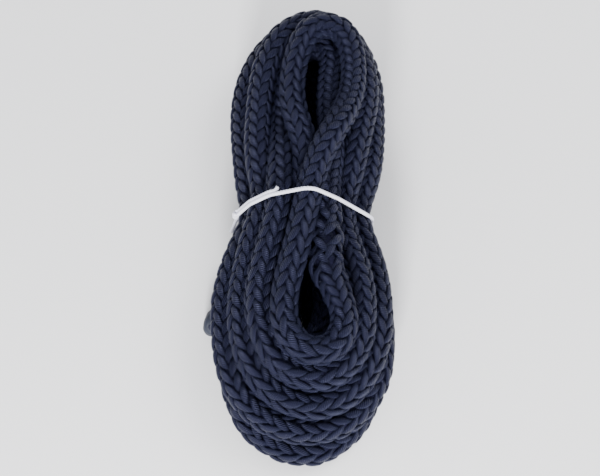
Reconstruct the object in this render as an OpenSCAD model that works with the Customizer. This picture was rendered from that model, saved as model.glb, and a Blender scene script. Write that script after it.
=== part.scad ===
// Dock line wound into a hank, lying on its side and tied round the waist.
// The lower bight is at -Y, the upper bight at +Y, and the floor is z = 0.

/* [Rope] */
// Diameter of the plaited rope
rope_d = 16; // [14:0.5:18]
// How far the rope's outer end stands out of the hank, without its seal
outer_end_out = 1; // [0.5:0.5:3]
// Length of the melted seal on the rope's end
seal_len = 6; // [5:0.5:8]

/* [Hank] */
// Overall length over both bights
hank_len = 307; // [294:1:320]
// Greatest width of the lower lobe
lower_w = 110; // [104:1:116]
// Greatest width of the upper lobe
upper_w = 100; // [92:1:104]
// Diameter of the waist that the tie squeezes together
waist_d = 82; // [76:1:86]
// Height of the lower lobe
lower_h = 80; // [70:1:84]
// Height of the upper lobe
upper_h = 80; // [70:1:84]

/* [Tie] */
// Diameter of the tie string
string_d = 2.4; // [1.6:0.2:3.2]
// Gap between the tie string and the waist
string_gap = 0.3; // [0.2:0.1:0.5]
// Diameter of the knot
knot_d = 5.6; // [4.5:0.1:6.5]
// Length of the knot along the string
knot_len = 6; // [5:0.5:8]
// How far round the waist the front tail runs, in degrees
front_tail_arc = 56; // [45:1:70]

/* [Hidden] */
$fn = 64;

rope_blue = [0.16, 0.18, 0.28];
seal_blue = [0.27, 0.31, 0.42];
string_white = [0.90, 0.90, 0.96];

// The lower lobe is set over so that the hank and its outer end share a centre
lower_x = (outer_end_out + seal_len) / 2;
upper_x = lower_x + 2.5;
waist_x = lower_x + 1;
waist_y = -8;
waist_block = 22;      // length of the round waist between the lobes
edge_cut = 6;          // the bights' lower edges are taken back this far
lower_nose_h = 24;     // height of the lower bight where it is furthest out
upper_nose_h = 30;     // height of the upper bight where it is furthest out
lower_slope = 66;      // run of the sloping face over the lower bight
upper_slope = 38;      // run of the sloping face over the upper bight

string_r = string_d / 2;
loop_r = waist_d / 2 + string_gap + string_r;
loop_z = loop_r + string_r + string_gap;
knot_half_arc = knot_len / 2 / loop_r * 180 / PI;
tail_pitch = string_d + string_gap;
side_tail_len = 14;
side_tail_turn = -20;

flank_x = lower_x - lower_w / 2;
end_y = -66;
end_z = rope_d / 2 + string_gap;
end_inside = 24;       // rope modelled inside the hank behind the flank
dome_r = rope_d / 2 * 0.92;

// Outline of a lobe seen from above: from the waist out to the round bight
steps = 24;
function lobe_half(t, w) =
    let (neck = waist_d / 2 - 3, swell = pow(sin(90 * min(1, t / 0.5)), 2))
    (neck + (w / 2 - neck) * swell) * (t < 0.5 ? 1 : sqrt(max(0, 1 - pow((t - 0.5) / 0.5, 2.4))));
function lobe_mid(t, x0) = waist_x + (x0 - waist_x) * min(1, 2 * t);
function lobe_outline(w, x0, len) = [
    for (i = [0:steps]) let (t = i / steps) [lobe_mid(t, x0) + lobe_half(t, w), len * t],
    for (i = [steps - 1:-1:0]) let (t = i / steps) [lobe_mid(t, x0) - lobe_half(t, w), len * t]
];

// One lobe: its outline cut to the sloping side profile
module lobe(w, h, x0, len, slope, nose_h) {
    intersection() {
        linear_extrude(h) polygon(lobe_outline(w, x0, len));
        translate([-w, 0, 0]) rotate([90, 0, 90]) linear_extrude(2 * w)
            polygon([
                [0, string_d + 2 * string_gap], [waist_block, 0], [len - edge_cut, 0],
                [len, edge_cut], [len, nose_h], [len - slope, h - 2], [len - slope - 12, h], [0, h]
            ]);
    }
}

// All the turns of the rope as one closed solid
module rope_hank() {
    neck_y = waist_block / 4;
    color(rope_blue) union() {
        translate([0, waist_y - neck_y, 0]) mirror([0, 1, 0])
            lobe(lower_w, lower_h, lower_x, hank_len / 2 + waist_y - neck_y, lower_slope, lower_nose_h);
        translate([0, waist_y + neck_y, 0])
            lobe(upper_w, upper_h, upper_x, hank_len / 2 - waist_y - neck_y, upper_slope, upper_nose_h);
        translate([waist_x, waist_y + waist_block / 2, loop_z]) rotate([90, 0, 0])
            cylinder(d = waist_d, h = waist_block);
    }
}

// The rope's outer end, coming out from under the left side of the lower lobe
module outer_end() {
    color(rope_blue) translate([flank_x + end_inside, end_y, end_z]) rotate([0, -90, 0])
        cylinder(d = rope_d, h = end_inside + outer_end_out);
}

// The melted end that keeps the strands together: a short plug with a rounded rim
module outer_end_seal() {
    round_r = dome_r / 2;
    color(seal_blue) translate([flank_x - outer_end_out, end_y, end_z]) rotate([0, -90, 0])
        rotate_extrude() {
            square([dome_r, seal_len - round_r]);
            square([dome_r - round_r, seal_len]);
            translate([dome_r - round_r, seal_len - round_r]) intersection() {
                circle(r = round_r);
                square(round_r);
            }
        }
}

// A stretch of string round the waist; angles run from +X over the top
module string_arc(from, to, y_shift) {
    color(string_white) translate([waist_x, waist_y + y_shift, loop_z]) rotate([90, 0, 0])
        rotate([0, 0, from]) rotate_extrude(angle = to - from)
            translate([loop_r, 0]) circle(r = string_r);
}

module tie_loop() {
    string_arc(180 + knot_half_arc, 540 - knot_half_arc, 0);
}
module tie_knot() {
    color(string_white) translate([waist_x - loop_r, waist_y, loop_z - knot_len / 2])
        cylinder(d = knot_d, h = knot_len);
}
module tie_front_tail() {
    string_arc(180 - knot_half_arc - front_tail_arc, 180 - knot_half_arc, tail_pitch);
}
module tie_side_tail() {
    color(string_white) translate([waist_x - loop_r, waist_y - knot_d / 2, loop_z])
        rotate([90, 0, side_tail_turn]) cylinder(d = string_d, h = side_tail_len);
}

rope_hank();
outer_end();
outer_end_seal();
tie_loop();
tie_knot();
tie_front_tail();
tie_side_tail();
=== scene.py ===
# %% [markdown]
# # A dock line, wound into a hank and tied
#
# The object is about six metres of plaited navy rope, wound up and down into a long bundle, laid flat
# and squeezed round its waist with one length of white string. There is no hardware on it at all: the
# whole look comes from where the rope runs and from how its sixteen strands pass over and under each
# other. So this lesson first finds the rope's route, then plaits real strands along it.
#
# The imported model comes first. It is a frame in metres that fixes how large everything is and where it
# lies, and it is never moved.

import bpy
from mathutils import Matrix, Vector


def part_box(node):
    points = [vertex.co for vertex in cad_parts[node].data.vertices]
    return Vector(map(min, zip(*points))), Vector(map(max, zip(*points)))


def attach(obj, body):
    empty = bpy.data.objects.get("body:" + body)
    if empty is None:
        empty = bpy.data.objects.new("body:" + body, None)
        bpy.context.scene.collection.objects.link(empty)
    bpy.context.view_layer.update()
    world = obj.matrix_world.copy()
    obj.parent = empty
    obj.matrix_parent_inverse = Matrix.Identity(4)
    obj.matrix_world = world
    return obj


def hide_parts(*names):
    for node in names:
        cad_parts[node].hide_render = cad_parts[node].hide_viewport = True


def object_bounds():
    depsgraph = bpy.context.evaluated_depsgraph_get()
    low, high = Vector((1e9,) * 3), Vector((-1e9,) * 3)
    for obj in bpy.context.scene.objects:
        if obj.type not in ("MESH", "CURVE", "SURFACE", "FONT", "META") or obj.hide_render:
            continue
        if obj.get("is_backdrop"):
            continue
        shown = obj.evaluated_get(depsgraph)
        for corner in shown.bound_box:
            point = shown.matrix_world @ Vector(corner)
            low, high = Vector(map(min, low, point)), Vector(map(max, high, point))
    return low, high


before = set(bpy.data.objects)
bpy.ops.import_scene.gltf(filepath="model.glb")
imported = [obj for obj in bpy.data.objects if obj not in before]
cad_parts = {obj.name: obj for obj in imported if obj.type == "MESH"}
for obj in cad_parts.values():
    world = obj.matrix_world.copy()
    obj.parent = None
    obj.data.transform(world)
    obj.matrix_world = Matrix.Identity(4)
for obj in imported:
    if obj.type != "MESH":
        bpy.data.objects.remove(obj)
cad_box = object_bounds()
print("nodes:", ", ".join(sorted(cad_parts)))

# %% Sizes that everything else hangs on
import math

import bpy
import numpy as np
from mathutils import Vector

end_lo, end_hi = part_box("outer_end")
loop_lo, loop_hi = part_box("tie_loop")
seal_lo, seal_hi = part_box("outer_end_seal")

D = end_hi[1] - end_lo[1]  # the rope's diameter: nearly every size below is a count of these
STRING = loop_hi[1] - loop_lo[1]
SEAL = seal_hi[0] - seal_lo[0]
WAIST = (np.array(loop_lo) + np.array(loop_hi)) / 2 / D  # centre of the tie, in rope diameters
WAIST_R = (loop_hi[0] - loop_lo[0]) / 2 / D - STRING / D - 0.45  # how far out a run's centre may lie there
print(f"rope {D * 1000:.1f} mm, string {STRING * 1000:.1f} mm, waist centre {WAIST.round(2)} D")

# %% [markdown]
# ## The camera
#
# A camera is made before anything is modelled, because every later choice is judged through it. It
# stands about three quarters of a metre away and leans 25 degrees from straight overhead, so the nearer
# bight looks larger than the far one. That difference in size is what fixes the distance: a longer lens
# from further off would show the same outline, but both bights in one size.

# %% Place the camera
LEAN = math.radians(25)
DISTANCE = 0.75
aim = Vector((0.0008, -0.0199, 0.0388))
eye = bpy.data.cameras.new("view")
eye.lens, eye.sensor_width = 73.1, 36
camera = bpy.data.objects.new("view", eye)
camera.location = aim + DISTANCE * Vector((0, -math.sin(LEAN), math.cos(LEAN)))
camera.rotation_euler = (LEAN, 0, 0)
bpy.context.scene.collection.objects.link(camera)
bpy.context.scene.camera = camera
print("camera at", [round(v, 3) for v in camera.location])

# %% [markdown]
# ## The route, as a winder would lay it
#
# A hank is a rope that runs up and down between two bights. Drawing all of it by hand, point by point,
# would be slow and hard to change. It could also be simulated from a loose rope, but then nobody could
# say which run ends up on top. So the plan is in between: each run gets its place at three stations
# only, the upper lobe, the waist and the lower lobe, and each bight gets its tip. Then the computer
# rounds the curve and pushes the runs apart until they lie on each other like real rope.
#
# All places are in rope diameters: x across the hank, y along it, z up from the floor. The rope starts
# with its inner end in the upper lobe and is wound from the bottom layer up. The runs that show have
# letters: a, b, d and c are on the left, e, g and h on the right. The run called f is the last to be
# crossed over the hank. It comes down from the right, passes over the waist and turns round the inner
# bight of the lower lobe.

# %% Where each run lies
UP, MIDDLE, LOW = 4.4, WAIST[1], -3.7  # the stations' y

# name, then x and z at the upper lobe, the waist and the lower lobe
RUNS = [
    ("inner_1", (0.30, 0.60), (0.25, 2.60), (0.30, 0.50)),
    ("inner_2", (-0.85, 0.50), (-0.17, 0.72), (-0.75, 0.50)),
    ("inner_3", (1.40, 0.50), (0.77, 0.75), (1.75, 0.50)),
    ("inner_4", (-1.30, 1.37), (0.10, 1.60), (-1.60, 1.00)),
    ("inner_5", (1.90, 1.37), (1.00, 1.75), (2.00, 1.45)),
    ("inner_6", (-0.50, 1.50), (-0.66, 2.00), (-0.35, 1.55)),
    ("inner_7", (1.00, 1.50), (1.05, 2.60), (2.05, 2.45)),
    ("inner_8", (-1.35, 2.30), (-0.62, 2.95), (-1.60, 2.25)),
    ("inner_9", (1.90, 2.35), (0.55, 3.30), (0.92, 3.15)),
    ("c", (-0.32, 4.20), (-0.15, 3.80), (-1.00, 3.00)),
    ("f", (2.08, 4.40), (0.40, 4.62), (-0.40, 4.60)),
    ("e", (1.14, 3.95), (0.95, 4.20), (1.08, 4.25)),
    ("d", (-0.70, 3.15), (-0.70, 4.15), (-1.52, 3.90)),
    ("g", (2.62, 3.50), (1.52, 3.42), (2.28, 3.50)),
    ("b", (-1.54, 3.50), (-1.27, 3.38), (-2.20, 3.15)),
    ("h", (2.90, 2.45), (2.06, 2.66), (2.94, 2.50)),
    ("a", (-2.28, 2.40), (-1.93, 2.85), (-2.74, 2.30)),
    ("right_low", (2.88, 1.42), (2.22, 1.75), (2.94, 1.45)),
    ("left_low", (-2.30, 1.40), (-1.72, 1.95), (-2.62, 1.50)),
    ("right_floor", (2.40, 0.50), (1.55, 0.95), (2.70, 0.50)),
    ("left_floor", (-1.85, 0.50), (-1.05, 1.12), (-2.50, 0.50)),
]

# The tip of the bight after each run, x y z; lower and upper bights take turns
BIGHTS = [
    (0.20, -5.70, 0.50), (0.20, 8.10, 0.50),
    (0.10, -8.00, 0.60), (0.20, 8.00, 1.50),
    (0.20, -7.20, 1.50), (0.20, 6.60, 1.60),
    (0.20, -6.90, 2.50), (0.20, 7.50, 2.30),
    (0.20, -6.00, 3.15), (0.90, 7.40, 4.35),
    (0.50, -6.50, 4.25), (0.30, 7.05, 3.20),
    (0.60, -7.25, 3.60), (0.40, 8.10, 3.50),
    (0.38, -8.00, 2.70), (0.30, 8.62, 2.60),
    (0.20, -8.65, 1.80), (0.30, 8.95, 1.70),
    (0.00, -9.14, 0.72), (0.20, 9.12, 0.60),
]

# Runs that bend between two stations: the points after that station, going down (-1 is above them all)
BETWEEN = {
    ("f", 0): [(1.80, 3.44, 4.50), (1.50, 2.67, 4.60), (0.83, 1.11, 4.80)],
    ("f", 1): [(0.05, -2.05, 4.80)],
    ("f", 2): [(-0.55, -5.10, 4.50)],
    ("e", -1): [(1.16, 5.70, 3.75)],
    ("e", 0): [(1.20, 2.00, 3.90)],
    ("e", 1): [(0.98, -1.70, 4.25), (0.92, -2.60, 4.30)],
    ("e", 2): [(1.40, -4.50, 4.25), (1.60, -5.20, 4.25)],
    ("d", 0): [(-0.73, 1.52, 3.70)],
    ("g", 0): [(1.90, 1.15, 3.70)],
    ("h", 0): [(2.57, 0.74, 2.75)],
    ("h", 1): [(2.58, -1.70, 2.60)],
    ("a", 1): [(-2.36, -2.10, 2.65)],
    ("a", 2): [(-2.74, -5.00, 2.20)],
    ("right_low", 1): [(2.66, -1.70, 1.60)],
    ("right_low", 2): [(2.98, -5.00, 1.42)],
    ("left_low", 2): [(-2.60, -4.90, 1.42)],
    ("right_floor", 2): [(2.76, -4.90, 0.50)],
}
START = [(0.6, 6.0, 0.6)]
OUT = [(-2.86, -4.00, 0.54), (-3.40, -4.02, 0.54)]  # the outer end, coming out at the left
print(len(RUNS), "runs,", len(BIGHTS), "bights")

# %% [markdown]
# A plait isn't the same all along. Where hands have pushed the rope together its stitches are short and
# steep, and where it has been pulled they are long. The lay is the length in which a strand goes once
# round the rope, and it is given here for the runs where it differs. Run e has even been pushed together
# so far, just below the tie, that its strands stand out loosely and the rope is thicker there.

# %% How tightly each run is plaited
LAY = 4.4  # rope diameters for one turn of a strand
OWN_LAY = {"f": (3.3, 4.6, 4.7), "e": (3.1, 3.4, 3.6), "g": (3.8, 4.0, 4.2), "h": (3.9, 4.1, 4.3)}
LOOSE_RUN, LOOSE_FROM, LOOSE_TO = "e", -1.2, -3.9
BIGHT_LOOSE = 0.25  # the lower bights are a little loose as well
SWELL = 0.26  # how much thicker the rope is where it is loose
SHOWN_HOLD, HIDDEN_HOLD = 1.0, 0.15  # how firmly the runs that show, and the others, keep to the plan


def run_points(k):
    """The planned points of run k in the order in which the rope goes, with the lay at each."""
    name, *places = RUNS[k]
    own = OWN_LAY.get(name, (LAY, LAY, LAY))
    points = [(*p, own[0]) for p in BETWEEN.get((name, -1), [])]
    for s, y in enumerate((UP, MIDDLE, LOW)):
        points.append((places[s][0], y, places[s][1], own[s]))
        points += [(*p, own[s]) for p in BETWEEN.get((name, s), [])]
    return points if k % 2 == 0 else points[::-1]


def shoulders(end, tip):
    """Two points that carry a bight's round shape from the end of a run out to its tip."""
    full = 0.88 if tip[1] < 0 else 0.95 if end[0] > tip[0] else 2.2  # less is squarer, more is pointed
    for degrees in (25, 55):
        t = math.radians(degrees)
        wide, far = math.cos(t) ** full, math.sin(t) ** 0.87
        share = (wide, 1 - far, wide)
        yield tuple(tip[i] + (end[i] - tip[i]) * share[i] for i in range(3)) + (end[3],)


def plan():
    """Every planned point in rope order, with columns: how firmly it is held, its lay, how loose it is."""
    rows = [(*p, LAY, 0.2, 0) for p in START]
    for k, (name, *_) in enumerate(RUNS):
        points = run_points(k)
        firm = HIDDEN_HOLD if name.startswith("inner") else SHOWN_HOLD
        for x, y, z, own in points:
            loose = name == LOOSE_RUN and LOOSE_TO < y < LOOSE_FROM
            rows.append((x, y, z, own, firm, float(loose)))
        if k < len(BIGHTS):
            after, tip = run_points(k + 1)[0], BIGHTS[k]
            firm = HIDDEN_HOLD if RUNS[k + 1][0].startswith("inner") else firm
            bend = [*shoulders(points[-1], tip), (*tip, (points[-1][3] + after[3]) / 2)]
            bend += reversed(list(shoulders(after, tip)))
            rows += [(*p, firm, BIGHT_LOOSE if tip[1] < 0 else 0) for p in bend]
    rows += [(*p, LAY, SHOWN_HOLD, 0) for p in OUT]
    table = np.array(rows)
    return table[:, :3], table[:, 3:].T


planned, columns = plan()
print(len(planned), "planned points")

# %% [markdown]
# ### From points to one smooth line
#
# A spline through the points is smooth, but its own points are bunched where the plan's are. The rope is
# to be treated as a chain of equal links, so the line is walked along and cut into equal steps. What was
# planned for a point, how firmly it is held and its lay, is carried along as extra columns.


# %% A smooth, even line
def smooth_line(points, extra, step, fine=30):
    """A curve through the points, cut into even steps, with the extra columns carried along."""
    gap = np.linalg.norm(np.diff(points, axis=0), axis=1) ** 0.5
    t = np.concatenate([[0], np.cumsum(gap)])
    slope = np.diff(points, axis=0) / gap[:, None]
    tangent = np.vstack([slope[:1], np.zeros_like(points[2:]), slope[-1:]])
    before, after = gap[:-1, None], gap[1:, None]
    tangent[1:-1] = (slope[1:] * before + slope[:-1] * after) / (before + after)
    u = np.linspace(0, 1, fine, endpoint=False)[None, :, None]
    h = gap[:, None, None]
    a, b = points[:-1, None], points[1:, None]
    ta, tb = tangent[:-1, None], tangent[1:, None]
    curve = (2 * u**3 - 3 * u**2 + 1) * a + (u**3 - 2 * u**2 + u) * h * ta
    curve += (3 * u**2 - 2 * u**3) * b + (u**3 - u**2) * h * tb
    curve = np.vstack([curve.reshape(-1, 3), points[-1:]])
    where = np.append((t[:-1, None] + gap[:, None] * u[0, :, 0]).ravel(), t[-1])
    walked = np.concatenate([[0], np.cumsum(np.linalg.norm(np.diff(curve, axis=0), axis=1))])
    stops = np.linspace(0, walked[-1], int(round(walked[-1] / step)) + 1)
    even = np.stack([np.interp(stops, walked, curve[:, k]) for k in range(3)], axis=1)
    at = np.interp(stops, walked, where)
    return even, [np.interp(at, t, column) for column in extra], stops


LINK = 0.33  # diameters
chain, (lay, hold, loose), _ = smooth_line(planned, columns, LINK)
print(f"{len(chain)} links, {len(chain) * LINK:.0f} D of rope planned")

# %% [markdown]
# ### Let the rope settle
#
# Each round does what a pile of rope does. Links nearer than a diameter push each other apart. A sharp
# bend is pushed open. The links keep their length. The tie draws the waist in, the floor holds everything
# up, and a weak pull keeps the runs that show near their planned places. These wishes can't all be met in
# full, so the outcome is a balance: a few bends stay sharper and a few runs press into each other. A few
# hundred rounds take seconds, and the result is the same every time because nothing in it is random.


# %% Runs push each other apart
NEAR = 1.4  # links further apart than this, in diameters, are left out of account
NEXT = 6  # links nearer to each other than this, counted along the rope, don't push
SQUEEZE = 0.08  # how much closer the runs lie under the tie
REFRESH = 8  # rounds for which one list of near pairs is good enough


def near_pairs(p):
    square = ((p[:, None] - p[None]) ** 2).sum(-1)
    return np.nonzero(np.triu(square < NEAR**2, NEXT))


def push_apart(p, pairs, thick):
    """Move overlapping links half their overlap each; also tells the deepest overlap."""
    i, j = pairs
    apart = p[i] - p[j]
    distance = np.linalg.norm(apart, axis=1)
    squeezed = SQUEEZE * np.exp(-(((p[i, 1] + p[j, 1]) / 2 - MIDDLE) / 1.6) ** 2)
    overlap = (thick[i] + thick[j]) / 2 - squeezed - distance
    hit = overlap > 0
    push = apart[hit] / np.maximum(distance[hit], 1e-6)[:, None] * overlap[hit][:, None] / 2
    move, hits = np.zeros_like(p), np.zeros(len(p))
    for ends, way in ((i[hit], 1), (j[hit], -1)):
        np.add.at(move, ends, way * push)
        np.add.at(hits, ends, 1)
    return p + 1.6 * move / np.maximum(hits, 1)[:, None], overlap.max()


first_pairs = near_pairs(chain)
print(len(first_pairs[0]), "pairs of links start out near each other")

# %% Bends and lengths
TIGHTEST = 1.05  # bends of a smaller radius than this are pushed open, in diameters
REACH = 3  # links on each side over which a bend is measured


def even_out(p):
    """Spread the bending, which rounds the curve without shrinking it."""
    for h in (1, 2):
        q = p.copy()
        q[2 * h : -2 * h] -= (
            p[: -4 * h] - 4 * p[h : -3 * h] + 6 * p[2 * h : -2 * h] - 4 * p[3 * h : -h] + p[4 * h :]
        ) * 0.025
        p = q
    return p


def open_bends(p, link):
    """Push sharp bends open a little; where runs are packed, some stay sharper."""
    slack = TIGHTEST * (1 - math.cos(REACH * link / TIGHTEST))
    bow = p[REACH:-REACH] - (p[: -2 * REACH] + p[2 * REACH :]) / 2
    size = np.linalg.norm(bow, axis=1)[:, None]
    ease = 0.2 * np.maximum(size - slack, 0) * bow / np.maximum(size, 1e-6)
    p[REACH:-REACH] -= ease
    p[: -2 * REACH] += ease / 2
    p[2 * REACH :] += ease / 2


def keep_links(p, link):
    """Bring every link back towards its length."""
    for odd in (0, 1):
        a, b = p[odd:-1:2], p[odd + 1 :: 2]
        n = min(len(a), len(b))
        d = b[:n] - a[:n]
        fix = 0.4 * (1 - link / np.linalg.norm(d, axis=1)[:, None]) * d
        p[odd : odd + 2 * n : 2] += fix
        p[odd + 1 : odd + 1 + 2 * n : 2] -= fix


print(f"bends under {TIGHTEST} D are pushed open, measured over {2 * REACH * LINK:.1f} D of rope")

# %% The tie and the floor
TIE_REACH = 0.7  # how far up and down the hank the tie is felt, in diameters
ON_FLOOR = 0.53  # height of a centre line that rests on the floor, in diameters
SINK = 0.002  # how far everything drops in a round, in diameters


def draw_in(p):
    """The tie brings the runs at the waist closer, and none stays outside its circle."""
    middle = WAIST[[0, 2]]
    near = np.abs(p[:, 1] - MIDDLE) < TIE_REACH
    out = p[near][:, [0, 2]] - middle
    far = np.linalg.norm(out, axis=1)
    drawn = np.where(far > WAIST_R, WAIST_R / np.maximum(far, 1e-6), 1)
    ring = p[near]
    ring[:, [0, 2]] = middle + out * (0.4 + 0.6 * drawn)[:, None]
    p[near] = ring


def settle(p, hold, thick, rounds=400):
    home, link = p.copy(), np.linalg.norm(p[1] - p[0])
    for turn in range(rounds):
        if turn % REFRESH == 0:
            pairs = near_pairs(p)
        p, deepest = push_apart(p, pairs, thick)
        p = even_out(p)
        for _ in range(2):
            open_bends(p, link)
        for _ in range(5):
            keep_links(p, link)
        pull = 0.03 + 0.06 * max(0, 1 - turn / 80)  # firmer at first
        p += (hold * pull)[:, None] * (home - p)
        p[:, 2] -= SINK
        draw_in(p)
        p[:, 2] = np.maximum(p[:, 2], ON_FLOOR)
    return p, deepest


settled, worst = settle(chain, hold, 1 + SWELL * 0.8 * loose)
print(f"deepest overlap {worst:.2f} D, box {settled.min(0).round(2)} to {settled.max(0).round(2)}")

# %% [markdown]
# The settled chain has links a third of a diameter long, too coarse to plait on, so it is smoothed again
# into much finer steps. From here on everything is in metres.

# %% The rope's centre line in metres
SIDE_SHIFT = 0.05  # centres the whole hank with its end over the frame
STEP = 0.115  # diameters from ring to ring of a strand
route, (lay, loose), walked = smooth_line(settled + [SIDE_SHIFT, 0, 0], [lay, loose], STEP, fine=4)
route, walked = route * D, walked * D


def gently(column, rings):
    """A column with its steps smoothed over so many rings."""
    return np.convolve(np.pad(column, rings // 2, mode="edge"), np.ones(rings) / rings, mode="valid")


lay, loose = gently(lay, 41), gently(loose, 9)

# %% [markdown]
# ## Directions along the rope
#
# To wind strands round the line, every point of it needs a pair of directions square to it. Taking them
# from a fixed up direction would spin them wildly wherever the rope points up. So each pair is turned
# only as much as the bend needs, from one point to the next, which is called a rotation-minimising
# frame. A rope that isn't twisted behaves in the same way.


# %% Frames that don't spin
def frames_along(line):
    tangent = np.gradient(line, axis=0)
    tangent /= np.linalg.norm(tangent, axis=1)[:, None]
    side = np.zeros_like(line)
    first = np.cross(tangent[0], [0.3, 0.1, 1.0])
    side[0] = first / np.linalg.norm(first)
    for k in range(len(line) - 1):  # two reflections carry a frame to the next point
        step = line[k + 1] - line[k]
        s2 = step @ step
        mirrored = side[k] - 2 / s2 * (step @ side[k]) * step
        ahead = tangent[k] - 2 / s2 * (step @ tangent[k]) * step
        turn = tangent[k + 1] - ahead
        t2 = turn @ turn
        side[k + 1] = mirrored - (2 / t2 * (turn @ mirrored) * turn if t2 > 1e-16 else 0)
    side -= (side * tangent).sum(1)[:, None] * tangent
    side /= np.linalg.norm(side, axis=1)[:, None]
    return tangent, side, np.cross(tangent, side)


tangent, side, other = frames_along(route)
print("frames:", len(side))

# %% [markdown]
# ## One way to sweep a shape along a line
#
# Strands, core and string are all long tubes whose section changes on the way. A curve with a bevel
# could draw a plain tube, but its section stays the same shape from end to end. A strand is wide and
# full where it shows and narrow where it dives, so its rings are worked out as arrays and handed to the
# mesh at once. Each tube also gets a UV map, in millimetres along and in turns around, and a value
# called dive that says how far a point has gone under. The finishes read both.


# %% Sweep rings into a mesh
def add_tubes(name, tubes):
    """One closed mesh from several tubes: each is (rings of points, length along, dive per ring)."""
    verts, quads, caps, uv, cap_uv, dives = [], [], [], [], [], []
    first = 0
    for rings, along, dive in tubes:
        n, around = rings.shape[:2]
        i, j = np.arange(n - 1)[:, None] * around, np.arange(around)[None, :]
        after = (j + 1) % around
        quad = np.stack([i + j, i + after, i + after + around, i + j + around], -1)
        quads.append(first + quad.reshape(-1, 4))
        u = np.broadcast_to(along[:-1, None] * 1000, (n - 1, around))
        u2 = np.broadcast_to(along[1:, None] * 1000, (n - 1, around))
        v = np.broadcast_to(j / around, (n - 1, around))
        v2 = np.broadcast_to((j + 1) / around, (n - 1, around))
        uv.append(np.stack([u, v, u, v2, u2, v2, u2, v], -1).reshape(-1, 2))
        caps += [first + np.arange(around)[::-1], first + (n - 1) * around + np.arange(around)]
        cap_uv += [np.full((around, 2), along[0] * 1000), np.full((around, 2), along[-1] * 1000)]
        verts.append(rings.reshape(-1, 3))
        dives.append(np.repeat(dive, around))
        first += n * around
    verts, quads = np.vstack(verts), np.vstack(quads)
    corners = np.concatenate([quads.ravel(), *caps])
    sizes = np.array([4] * len(quads) + [len(c) for c in caps])
    mesh = bpy.data.meshes.new(name)
    mesh.vertices.add(len(verts))
    mesh.vertices.foreach_set("co", verts.astype(np.float32).ravel())
    mesh.loops.add(len(corners))
    mesh.loops.foreach_set("vertex_index", corners.astype(np.int32))
    mesh.polygons.add(len(sizes))
    mesh.polygons.foreach_set("loop_start", (np.cumsum(sizes) - sizes).astype(np.int32))
    mesh.polygons.foreach_set("use_smooth", np.ones(len(sizes), bool))
    mesh.update(calc_edges=True)
    layer = mesh.uv_layers.new(name="along")
    layer.data.foreach_set("uv", np.vstack([*uv, *cap_uv]).astype(np.float32).ravel())
    dived = mesh.attributes.new("dive", "FLOAT", "POINT")
    dived.data.foreach_set("value", np.concatenate(dives).astype(np.float32))
    piece = bpy.data.objects.new(name, mesh)
    bpy.context.scene.collection.objects.link(piece)
    return piece


def rings_round(line, across, outward, wide, high, around, flat=1.0):
    """Rings of points round a line: an oval, wide across and high outward; flat < 1 levels its top."""
    angle = 2 * np.pi * np.arange(around) / around
    x, y = np.cos(angle), np.sign(np.sin(angle)) * np.abs(np.sin(angle)) ** flat
    return (
        line[:, None]
        + across[:, None] * (wide[:, None] * x)[..., None]
        + outward[:, None] * (high[:, None] * y)[..., None]
    )


# %% [markdown]
# ## Sixteen strands
#
# The cover is a sixteen-strand plait: eight strands wind one way and eight the other, and each passes
# over two and under two. Seen from outside, that makes eight columns of slanting stitches, with a V
# between each column and the next. A bump pattern could fake it from straight above, but not along the
# silhouette, and not where the rope turns. So every strand is a real one.
#
# A strand's angle round the rope grows with the distance walked, divided by the lay. Whether it is over
# or under is a wave with four periods a turn, made a little square so that the strand rides level on top
# and dives quickly. On top it also runs straighter than below, because the pull in the rope straightens
# what it can. The small unevenness is what a used rope has: it comes from smooth noise with a
# fixed seed.

# %% The shape of a strand
MID_RADIUS, WAVE = 0.390, 0.064  # where a strand's centre lies, and how far it weaves, in D
STRAND_W, STRAND_H = 0.290, 0.155  # a strand's width and thickness on top, in D
STRAIGHTEN = 0.095  # how much straighter it runs on top than below, in radians
LEVEL = 0.12  # the smaller, the more level a strand rides on top and the quicker it dives
NARROW = 0.62  # a strand's width below, as a share of its width on top
chance = np.random.default_rng(11)


def smooth_noise(n, every):
    """Gentle noise between about -1 and 1 that changes over the given number of rings."""
    knots = chance.normal(0, 0.5, n // every + 3)
    x = np.arange(n) / every
    k = x.astype(int)
    f = (1 - np.cos(np.pi * (x - k))) / 2
    return knots[k] * (1 - f) + knots[k + 1] * f


turned = np.diff(walked) / D / ((lay[1:] + lay[:-1]) / 2) * (1 + 0.07 * smooth_noise(len(route) - 1, 24))
turned = np.concatenate([[0], np.cumsum(turned)])
twist = 0.45 * smooth_noise(len(route), 60)  # the whole cover sits a little turned here and there


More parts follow.
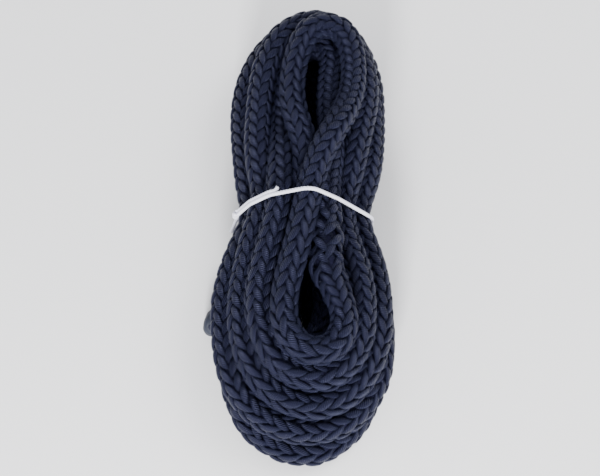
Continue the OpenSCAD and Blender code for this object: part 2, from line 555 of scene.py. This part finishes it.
def strand_tube(k, way, around=10):
    """Strand k of the eight that wind one way (1) or the other (-1)."""
    n = len(route)
    plain = way * 2 * np.pi * turned + 2 * np.pi * k / 8
    beat = 4 * (plain - math.radians(33.75))
    weave = way * np.cos(beat)
    over = weave / np.sqrt(weave**2 + LEVEL) * math.sqrt(1 + LEVEL)
    angle = plain - way * STRAIGHTEN * np.sin(beat) + twist
    angle += np.radians(1.6 + 20 * loose) * smooth_noise(n, 9)
    radius = MID_RADIUS * (1 + SWELL * loose) + WAVE * over + (0.006 + 0.11 * loose) * smooth_noise(n, 7)
    spoke = np.cos(angle)[:, None] * side + np.sin(angle)[:, None] * other
    line = route + D * radius[:, None] * spoke
    heading = np.gradient(line, axis=0)
    heading /= np.linalg.norm(heading, axis=1)[:, None]
    across = np.cross(spoke, heading)
    across /= np.linalg.norm(across, axis=1)[:, None]
    outward = np.cross(heading, across)
    wide = D * STRAND_W / 2 * (NARROW + (1 - NARROW) * np.maximum(weave, 0))
    wide *= 1 + 0.06 * smooth_noise(n, 12)
    high = D * STRAND_H / 2 * (0.95 + 0.05 * over)
    walked_here = np.concatenate([[0], np.cumsum(np.linalg.norm(np.diff(line, axis=0), axis=1))])
    rings = rings_round(line, across, outward, wide, high, around, flat=0.75)
    return rings, walked_here, (1 - over) / 2


# %% Plait them
strands = []
for way, letter in ((1, "r"), (-1, "l")):
    for k in range(8):
        strands.append(add_tubes(f"cover_strand_{letter}{k + 1}", [strand_tube(k, way)]))
faces = sum(len(s.data.polygons) for s in strands)
print(f"{len(strands)} strands, {faces * 2:,} triangles")

# %% [markdown]
# ## The core
#
# Under the cover runs a round core, which fills the rope and shows only as darkness between stitches. It
# could be left out, but light would leak through the notches. A plain tube is enough, and it runs along
# the rope's true centre.

# %% Run the core through
CORE_RADIUS = 0.395  # in D
every = slice(None, None, 2)
core_r = CORE_RADIUS * D * (1 + 0.6 * SWELL * loose[every])
core_rings = rings_round(route[every], side[every], other[every], core_r, core_r, 14)
core = add_tubes("rope_core", [(core_rings, walked[every], np.ones(len(core_r)))])
print("core rings:", len(core_r))

# %% [markdown]
# ## The melted ends
#
# A cut rope end is held together by melting it. The fibre shrinks into a smooth, slightly lumpy plug.
# One plug shows at the lower left, and the other is on the inner end, inside the hank. Each is modelled
# by hand: a cylinder whose outer face is pulled out and drawn in three times into a dome, softened by
# subdivision, then made uneven with a displacement.


# %% Model one melted end
PLUG_RADIUS = 0.525  # in D


def melted_end(name, base, direction):
    bpy.ops.object.select_all(action="DESELECT")
    bpy.ops.mesh.primitive_cylinder_add(
        vertices=24, radius=PLUG_RADIUS * D, depth=SEAL * 1.1, location=(0, 0, -SEAL * 0.05)
    )
    plug = bpy.context.object
    plug.name = name
    bpy.ops.object.mode_set(mode="EDIT")
    for inset, rise in ((0.07, 0.24), (0.13, 0.19), (0.16, 0.07)):  # in D and in seal lengths
        bpy.ops.mesh.select_all(action="DESELECT")
        bpy.ops.object.mode_set(mode="OBJECT")
        top = max(plug.data.polygons, key=lambda f: f.center.z)
        top.select = True
        bpy.ops.object.mode_set(mode="EDIT")
        bpy.ops.mesh.select_mode(type="FACE")
        bpy.ops.mesh.extrude_region_move(TRANSFORM_OT_translate={"value": (0, 0, rise * SEAL)})
        narrower = 1 - inset / PLUG_RADIUS
        bpy.ops.transform.resize(value=(narrower, narrower, 1), center_override=(0, 0, SEAL))
    bpy.ops.object.mode_set(mode="OBJECT")
    rounding = plug.modifiers.new("rounding", "SUBSURF")
    rounding.levels = rounding.render_levels = 2
    lumps = bpy.data.textures.new(name + "_lumps", "CLOUDS")
    lumps.noise_scale = 0.35 * D
    uneven = plug.modifiers.new("uneven", "DISPLACE")
    uneven.texture, uneven.strength, uneven.mid_level = lumps, 0.10 * D, 0.5
    for modifier in list(plug.modifiers):
        bpy.ops.object.modifier_apply(modifier=modifier.name)
    bpy.ops.object.shade_smooth()
    plug.rotation_euler = Vector(direction).to_track_quat("Z", "Y").to_euler()
    plug.location = base
    bpy.ops.object.transform_apply(location=True, rotation=True, scale=True)
    print(name, len(plug.data.polygons), "faces")
    return plug


SUNK = 0.10 * D  # the plug starts this far back over the strands' ends
outer_seal = melted_end("outer_end_melt", route[-1] - tangent[-1] * SUNK, tangent[-1])
inner_seal = melted_end("inner_end_melt", route[0] + tangent[0] * SUNK, -tangent[0])

# %% [markdown]
# ## The tie
#
# One length of white string goes once round the waist, meets itself on the left flank in a knot, and
# leaves two cut tails. A taut string round a bundle follows the bundle's convex hull: it bears on the
# outermost runs and bridges the valleys between them in straight lines. So its line is found from the
# runs themselves. For each direction round the waist, the run that reaches furthest that way is where
# the string bears.

# %% Find the string's way round the waist
crossing = np.nonzero(np.diff(np.sign(route[:, 1] - MIDDLE * D)))[0]
mix = (MIDDLE * D - route[crossing, 1]) / (route[crossing + 1, 1] - route[crossing, 1])
bearing = (route[crossing] + mix[:, None] * (route[crossing + 1] - route[crossing]))[:, [0, 2]]
stand_off = 0.505 * D + 0.42 * STRING
print(len(bearing), "runs cross the waist")


def hull_line(from_deg, to_deg, beside=0.0, n=400):
    """Points of the taut string between two directions; 0 is +X and 90 is straight up."""
    angle = np.radians(np.linspace(from_deg, to_deg, n))
    facing = np.stack([np.cos(angle), np.sin(angle)], axis=1)
    furthest = (facing @ bearing.T).argmax(axis=1)
    xz = bearing[furthest] + stand_off * facing
    y = (MIDDLE - 0.05) * D - 0.03 * (xz[:, 0] - WAIST[0] * D) + beside
    return np.stack([xz[:, 0], y, np.maximum(xz[:, 1], 0.55 * STRING)], axis=1)


# %% [markdown]
# The knot is a half knot: the two ends are laid round each other once and pulled tight. Both arrive from
# above, one as the loop and one as the front tail, and both leave below, one as the loop going under the
# hank and one as the side tail.

# %% Lay the string in one path
KNOT_AT = 177.0  # direction of the knot, on the left flank
front_tail = hull_line(117, KNOT_AT - 9, beside=0.85 * STRING, n=60)[::6]
cut_end = front_tail[0] + STRING * np.array([[1.5, 0.9, 0.6], [0.9, 0.1, 0.3]])
loop_under = hull_line(KNOT_AT + 9, 360, n=200)
loop_over = hull_line(0, KNOT_AT - 9, n=200)
knot = hull_line(KNOT_AT, KNOT_AT + 0.1, n=2)[0] + [-0.25 * STRING, 0.4 * STRING, 0]
half_turn = np.linspace(0, 1, 9)
swirl = 2 * np.pi * half_turn + 0.5 * np.pi
KNOT_R, KNOT_H = 0.62 * STRING, 2.6 * STRING
drop = (0.5 - half_turn) * KNOT_H
first_end = knot + np.stack([-KNOT_R * np.cos(swirl), KNOT_R * np.sin(swirl), drop], axis=1)
second_end = knot + np.stack([KNOT_R * np.cos(swirl), -KNOT_R * np.sin(swirl), drop], axis=1)
side_tail = second_end[-1] + np.linspace(0, 1, 6)[1:, None] * D * np.array([-0.22, -0.42, -0.30])
loop = np.vstack([loop_under[::8], loop_over[1::8]])
tie_plan = np.vstack([cut_end, front_tail, first_end, loop, second_end, side_tail])
tie_line, _, tie_walked = smooth_line(tie_plan, [], 0.25 * STRING, fine=8)
tie_tangent, tie_side, tie_other = frames_along(tie_line)
TIE_LENGTH = float(tie_walked[-1])
print(f"{TIE_LENGTH * 1000:.0f} mm of string")

# %% [markdown]
# The string itself is three plies twisted together. Each ply is a thin tube wound round the string's
# line, and at the two cut ends the plies open out a little.

# %% Twist three plies
plies = []
open_out = np.exp(-np.minimum(tie_walked, TIE_LENGTH - tie_walked) / (0.5 * STRING))
for k in range(3):
    angle = 2 * np.pi * (tie_walked / (2.4 * STRING) + k / 3)
    spoke = np.cos(angle)[:, None] * tie_side + np.sin(angle)[:, None] * tie_other
    line = tie_line + spoke * ((0.235 + 0.16 * open_out) * STRING)[:, None]
    heading = np.gradient(line, axis=0)
    heading /= np.linalg.norm(heading, axis=1)[:, None]
    across = np.cross(spoke, heading)
    across /= np.linalg.norm(across, axis=1)[:, None]
    thick = STRING * (0.285 - 0.10 * open_out)
    rings = rings_round(line, across, np.cross(heading, across), thick, thick, 10)
    plies.append((rings, tie_walked, np.zeros(len(line))))
string = add_tubes("tie_string", plies)
print("string faces:", len(string.data.polygons))

# %% [markdown]
# ## Writing a finish as arithmetic
#
# A finish is a small graph of nodes. Wiring it by hand in code hides what it does, so one class wraps a
# socket and lets ordinary arithmetic add the Math nodes: `1 - ribs * 0.3` becomes two of them. Any other
# kind of node comes from one method that takes its type, its settings and its inputs.


# %% Sockets that do arithmetic
class Value:
    def __init__(self, finish, socket):
        self.finish, self.socket = finish, socket

    def maths(self, operation, *others):
        return self.finish.node("Math", {"operation": operation}, *others)

    def __add__(self, other):
        return self.maths("ADD", self, other)

    def __mul__(self, other):
        return self.maths("MULTIPLY", self, other)

    def __sub__(self, other):
        return self.maths("SUBTRACT", self, other)

    def __rsub__(self, other):
        return self.maths("SUBTRACT", other, self)

    def __pow__(self, other):
        return self.maths("POWER", self, other)

    __radd__, __rmul__ = __add__, __mul__

    def sine(self):
        return self.maths("SINE", self)


class Finish:
    """A material whose shader is fed by expressions."""

    def __init__(self, name, **constants):
        self.material = bpy.data.materials.new(name)
        self.material.use_nodes = True
        self.nodes, self.links = self.material.node_tree.nodes, self.material.node_tree.links
        self.shader = self.nodes["Principled BSDF"]
        for socket, value in constants.items():
            self.shader.inputs[socket.replace("_", " ")].default_value = value

    def node(self, kind, settings=None, *inputs, out=0, **named):
        """Add a node; inputs go in by order or by name, as numbers, colours or links."""
        made = self.nodes.new("ShaderNode" + kind)
        for key, value in (settings or {}).items():
            if key == "stops":
                ramp = made.color_ramp.elements
                while len(ramp) < len(value):
                    ramp.new(0.5)
                for element, (position, colour) in zip(ramp, value):
                    element.position, element.color = position, (*colour, 1)
            else:
                setattr(made, key, value)
        pairs = [*enumerate(inputs), *((k.replace("_", " "), v) for k, v in named.items())]
        for key, value in pairs:
            if isinstance(value, Value):
                self.links.new(value.socket, made.inputs[key])
            else:
                made.inputs[key].default_value = value
        return Value(self, made.outputs[out])

    def ramp(self, value, *stops):
        """A colour that follows a value: each stop is a position and a colour."""
        return self.node("ValToRGB", {"stops": stops}, value)

    def strip(self):
        """The UV map of a tube: millimetres along it, and turns around it."""
        place = self.node("UVMap", {"uv_map": "along"})
        return self.node("SeparateXYZ", None, place, out=0), self.node("SeparateXYZ", None, place, out=1)

    def feed(self, **named):
        for key, value in named.items():
            self.links.new(value.socket, self.shader.inputs[key.replace("_", " ")])


# %% [markdown]
# ## The rope's finish
#
# Each strand is a bundle of twisted yarns, so fine ribs cross it at a slant, about one a millimetre.
# They catch the light as tiny ticks where the rope turns over the lower bight. The ribs are a sine wave
# over the UV map: along the strand plus a share of the way around. The colour carries painted shade in
# the rib valleys, a painted highlight on the rib crests and painted shade where a strand dives under its
# neighbours. Over the whole hank it drifts a little, as dyed yarn does, and fine stretched noise stands
# for single fibres.

# %% Navy cover
cover = Finish("navy_cover", Sheen_Weight=0.03, Sheen_Roughness=0.5, Sheen_Tint=(0.45, 0.55, 1.0, 1),
               Specular_IOR_Level=0.26, Specular_Tint=(0.50, 0.53, 0.88, 1))
along, around = cover.strip()
RIB = 1.2  # millimetres from rib to rib
ribs = ((along * (1 / RIB) + around * 5.0) * (2 * math.pi)).sine() * 0.5 + 0.5
fibre_place = cover.node("CombineXYZ", None, along * 0.55, around * 26.0)
fibres = cover.node("TexNoise", {"noise_dimensions": "2D"}, Vector=fibre_place, Scale=1.0, Detail=2.0)
place = cover.node("TexCoord", out=3)
drift = cover.node("TexNoise", None, Vector=place, Scale=38.0, Detail=3.0)
dive = cover.node("Attribute", {"attribute_name": "dive"}, out=2)
tone = cover.ramp(
    drift * 0.55 + fibres * 0.45, (0.25, (0.0060, 0.0064, 0.0178)), (0.75, (0.0100, 0.0108, 0.0268))
)
# painted shade where a strand dives under its neighbours and in the rib valleys, painted highlight on the
# rib crests
shade = (0.62 + 0.38 * (1 - dive) ** 0.8) * (0.60 + 0.50 * ribs)
painted_shade_and_highlight = cover.node("CombineColor", None, shade, shade, shade)
multiply = {"data_type": "RGBA", "blend_type": "MULTIPLY"}
colour = cover.node("Mix", multiply, out=2, Factor=1.0, A=tone, B=painted_shade_and_highlight)
bumps = ribs * 0.8 + fibres * 0.2
surface = cover.node("Bump", None, Strength=1.0, Distance=0.0006, Height=bumps)
cover.feed(Base_Color=colour, Roughness=0.25 + 0.34 * (1 - ribs) + 0.08 * fibres, Normal=surface)

# %% [markdown]
# ## The other finishes
#
# The core is the same dyed fibre, seen only in shadow. The melted end has turned to plastic: it is paler
# than the plait and has no ribs, only a faint mottling. The string is soft white cotton-like yarn with
# fibres that run along each ply.

# %% Core, melt and string
inside = Finish("navy_core", Roughness=0.8, Specular_IOR_Level=0.05)
spot = inside.node("TexNoise", None, Vector=inside.node("TexCoord", out=3), Scale=600.0, Detail=2.0)
inside.feed(Base_Color=inside.ramp(spot, (0.3, (0.005, 0.005, 0.015)), (0.7, (0.010, 0.010, 0.027))))

melt = Finish("melted_navy", Coat_Weight=0.05, Coat_Roughness=0.35, Specular_IOR_Level=0.3)
melt_place = melt.node("TexCoord", out=3)
mottle = melt.node("TexNoise", None, Vector=melt_place, Scale=420.0, Detail=4.0)
pits = melt.node("TexNoise", None, Vector=melt_place, Scale=1500.0, Detail=2.0)
melt.feed(
    Base_Color=melt.ramp(mottle, (0.3, (0.011, 0.014, 0.026)), (0.7, (0.019, 0.024, 0.041))),
    Roughness=0.40 + 0.25 * mottle,
    Normal=melt.node("Bump", None, Strength=0.5, Distance=0.0003, Height=mottle * 0.8 + pits * 0.2),
)

white = Finish("white_string", Sheen_Weight=0.25, Sheen_Roughness=0.6)
along, around = white.strip()
hair_place = white.node("CombineXYZ", None, along * 1.4, around * 9.0 + along * 1.2)
hairs = white.node("TexNoise", {"noise_dimensions": "2D"}, Vector=hair_place, Scale=1.0, Detail=3.0)
white.feed(
    Base_Color=white.ramp(hairs, (0.3, (0.74, 0.75, 0.88)), (0.7, (0.90, 0.90, 0.98))),
    Roughness=0.65 + 0.2 * hairs,
    Normal=white.node("Bump", None, Strength=0.6, Distance=0.0002, Height=hairs),
)

# %% Put the finishes on
for piece in strands:
    piece.data.materials.append(cover.material)
for piece, finish, slot in (
    (core, inside, "rope_core"), (outer_seal, melt, "sealed_end"),
    (inner_seal, melt, "sealed_end"), (string, white, "tie_string"),
):
    piece.data.materials.append(finish.material)

# %% [markdown]
# ## Put every piece on the body
#
# Every piece rides on the one body there is. The plait, the melted ends and the string stand for the
# plain solids of the frame, which are hidden.

for piece in (*strands, core, outer_seal, inner_seal, string):
    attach(piece, "root")
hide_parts("rope_hank", "outer_end")
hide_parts("outer_end_seal")
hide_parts("tie_loop", "tie_knot", "tie_front_tail", "tie_side_tail")

# %% [markdown]
# ## Floor and light
#
# The hank lies on a plain pale floor under soft light. A lamp low in front rakes up the lower bight and
# picks out the ribs, a wide and weak one from the right keeps the other flank readable, and an even sky
# fills the rest.

# %% Floor
bpy.ops.object.select_all(action="DESELECT")
bpy.ops.mesh.primitive_plane_add(size=8, location=(0, 0, 0))
floor = bpy.context.object
floor.name = "floor"
paper = Finish("pale_floor", Roughness=0.9)
cloud = paper.node("TexNoise", None, Vector=paper.node("TexCoord", out=3), Scale=3.0)
paper.feed(Base_Color=paper.ramp(cloud, (0.0, (0.90, 0.90, 0.91)), (1.0, (0.93, 0.93, 0.94))))
floor.data.materials.append(paper.material)
floor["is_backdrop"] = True

# %% Lamps and sky
sky = bpy.data.worlds.new("sky")
sky.use_nodes = True
sky.node_tree.nodes["Background"].inputs["Color"].default_value = (0.96, 0.97, 1.0, 1)
sky.node_tree.nodes["Background"].inputs["Strength"].default_value = 1.25
bpy.context.scene.world = sky


def lamp(name, place, size, watts):
    light = bpy.data.lights.new(name, "AREA")
    light.size, light.energy = size, watts
    holder = bpy.data.objects.new(name, light)
    holder.location = place
    holder.rotation_euler = (Vector((0, 0, 0.03)) - Vector(place)).to_track_quat("-Z", "Y").to_euler()
    bpy.context.scene.collection.objects.link(holder)


lamp("front_lamp", (-0.15, -1.25, 0.55), 0.25, 40)
lamp("right_lamp", (0.8, 0.4, 1.3), 0.8, 12)

# %% [markdown]
# Last, the boxes of the frame and of the finished model are written side by side, so that it is easy to
# see that the rope still has the size it was given.

# %% Check the size and finish
made_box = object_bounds()
for label, box in (("frame", cad_box), ("model", made_box)):
    print(label, [[round(v, 4) for v in corner] for corner in box])
